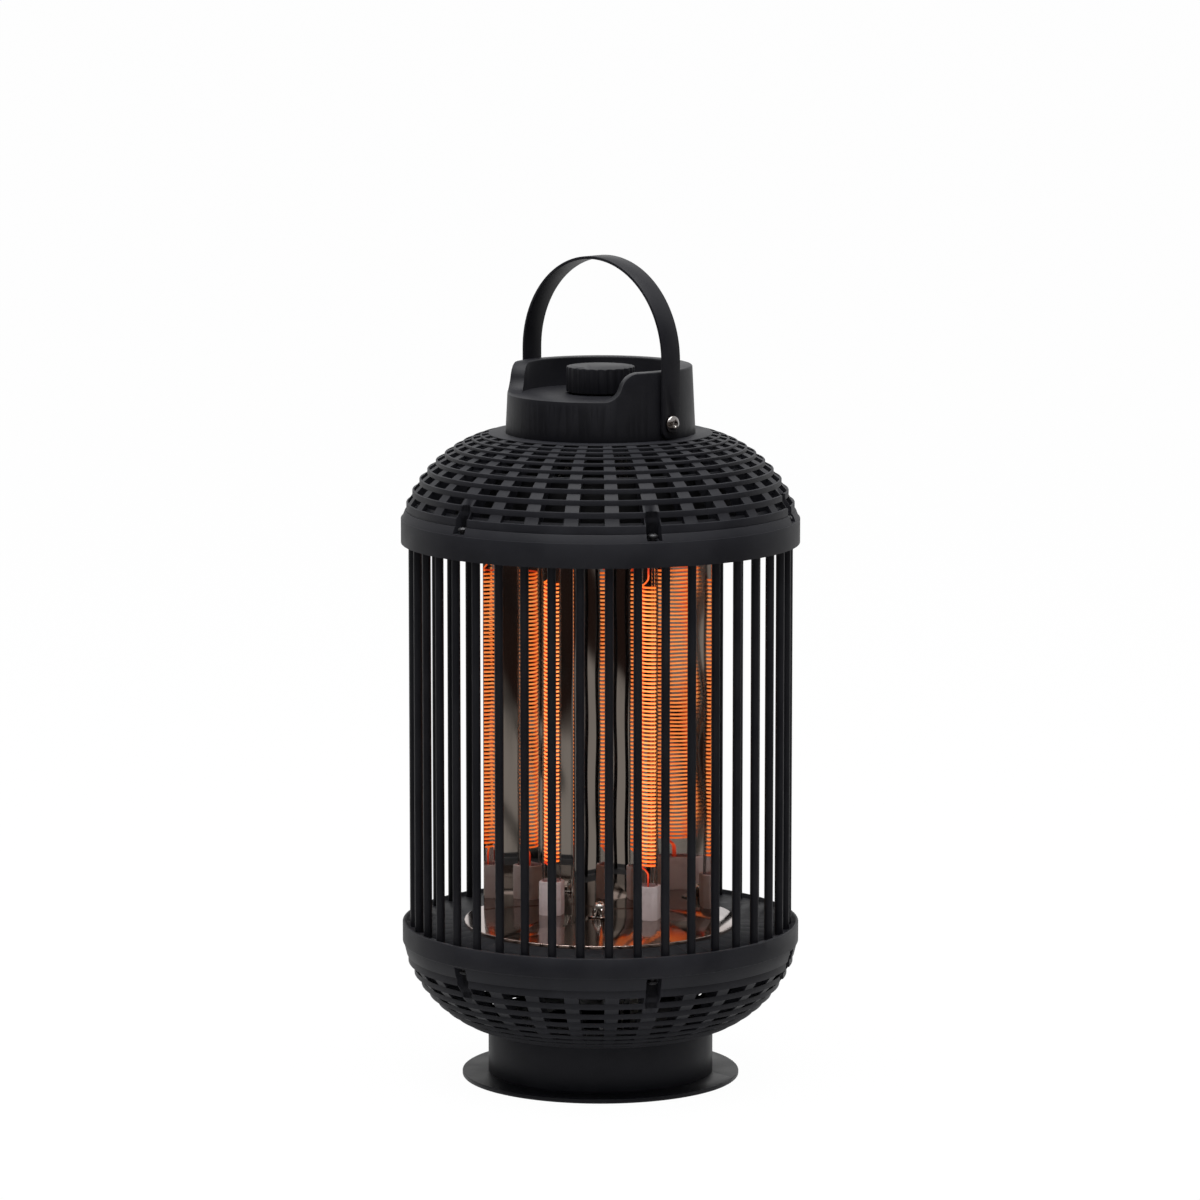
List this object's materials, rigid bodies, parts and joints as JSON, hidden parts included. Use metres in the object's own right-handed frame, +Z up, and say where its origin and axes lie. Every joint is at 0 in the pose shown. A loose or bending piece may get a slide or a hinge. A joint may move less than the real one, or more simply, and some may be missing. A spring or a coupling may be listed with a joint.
{
  "type": "electric lantern patio heater",
  "caption": "Round electric lantern heater: glowing quartz elements in a cage of rods between perforated shells, with a rotary switch on top and a carrying handle.",
  "frame": {"origin": "centre of the underside of the foot pads", "axes": "+Z up, -Y the front, where the wall round the knob is cut away, X along the handle's pivot axis"},
  "size_m": [0.28, 0.28, 0.5828],
  "materials": {
    "black_paint": "fine matte powder coat",
    "black_shell": "fine-grained heat-resistant moulded plastic",
    "black_plastic": "matte heat-resistant plastic",
    "polished_steel": "mirror-polished steel",
    "zinc_steel": "zinc-plated steel",
    "black_steel": "blackened steel",
    "ceramic": "unglazed off-white ceramic",
    "quartz": "clear quartz glass",
    "glowing_wire": "resistance wire at orange heat",
    "rubber_pads": "soft rubber",
    "brass": "plain brass",
    "white_plastic": "moulded plastic",
    "wire_sleeve": "glass-fibre sleeved wire"
  },
  "bodies": {
    "frame": {"foot_plate": "black_paint", "foot_pads": "rubber_pads", "foot_screws": "zinc_steel", "pedestal": "black_shell", "pedestal_screws": "zinc_steel", "lower_bowl": "black_shell", "bowl_screws": "black_steel", "tray": "black_shell", "base_disc": "polished_steel", "disc_bolt": "zinc_steel", "disc_washer": "polished_steel", "disc_nut": "polished_steel", "cage_rods": "black_paint", "upper_ring": "black_shell", "ceiling_disc": "zinc_steel", "reflector": "polished_steel", "reflector_rivets": "zinc_steel", "lower_cap_left": "ceramic", "lower_cap_right": "ceramic", "upper_cap_left": "ceramic", "upper_cap_right": "ceramic", "quartz_tube_left": "quartz", "quartz_tube_right": "quartz", "heater_coil_left": "glowing_wire", "heater_coil_right": "glowing_wire", "cap_rings": "zinc_steel", "wire_conduit": "zinc_steel", "conduit_nuts": "zinc_steel", "heat_shield": "black_steel", "shield_spacers": "zinc_steel", "shield_screws": "zinc_steel", "thermal_cutout": "zinc_steel", "upper_dome": "black_shell", "dome_screws": "black_steel", "control_housing": "black_plastic", "housing_screws": "zinc_steel", "rotary_switch": "black_plastic", "switch_bush_nut": "brass", "handle_bolts": "polished_steel", "handle_washers": "polished_steel", "handle_nuts": "zinc_steel", "terminal_block": "white_plastic", "cable_gland": "black_plastic", "gland_nut": "black_plastic", "tilt_switch_housing": "black_plastic", "tilt_switch_pin": "zinc_steel", "element_wires": "wire_sleeve", "switch_cable": "wire_sleeve", "top_wires": "wire_sleeve"},
    "handle": {"carrying_handle": "black_paint"},
    "knob_body": {"knob": "black_plastic", "switch_shaft": "zinc_steel"},
    "pendulum": {"tilt_pendulum": "zinc_steel"}
  },
  "joints": [
    {"name": "handle_fold", "type": "hinge", "parent": "frame", "child": "handle", "pos_m": [0, 0, 0.4703], "axis": [1, 0, 0], "range_deg": [-90, 90]},
    {"name": "knob_turn", "type": "hinge", "parent": "frame", "child": "knob_body", "pos_m": [0, 0, 0.49], "axis": [0, 0, 1], "range_deg": [0, 120]},
    {"name": "tilt_swing", "type": "hinge", "parent": "frame", "child": "pendulum", "pos_m": [-0.034, 0, 0.027], "axis": [0, 1, 0], "range_deg": [-25, 25]}
  ]
}
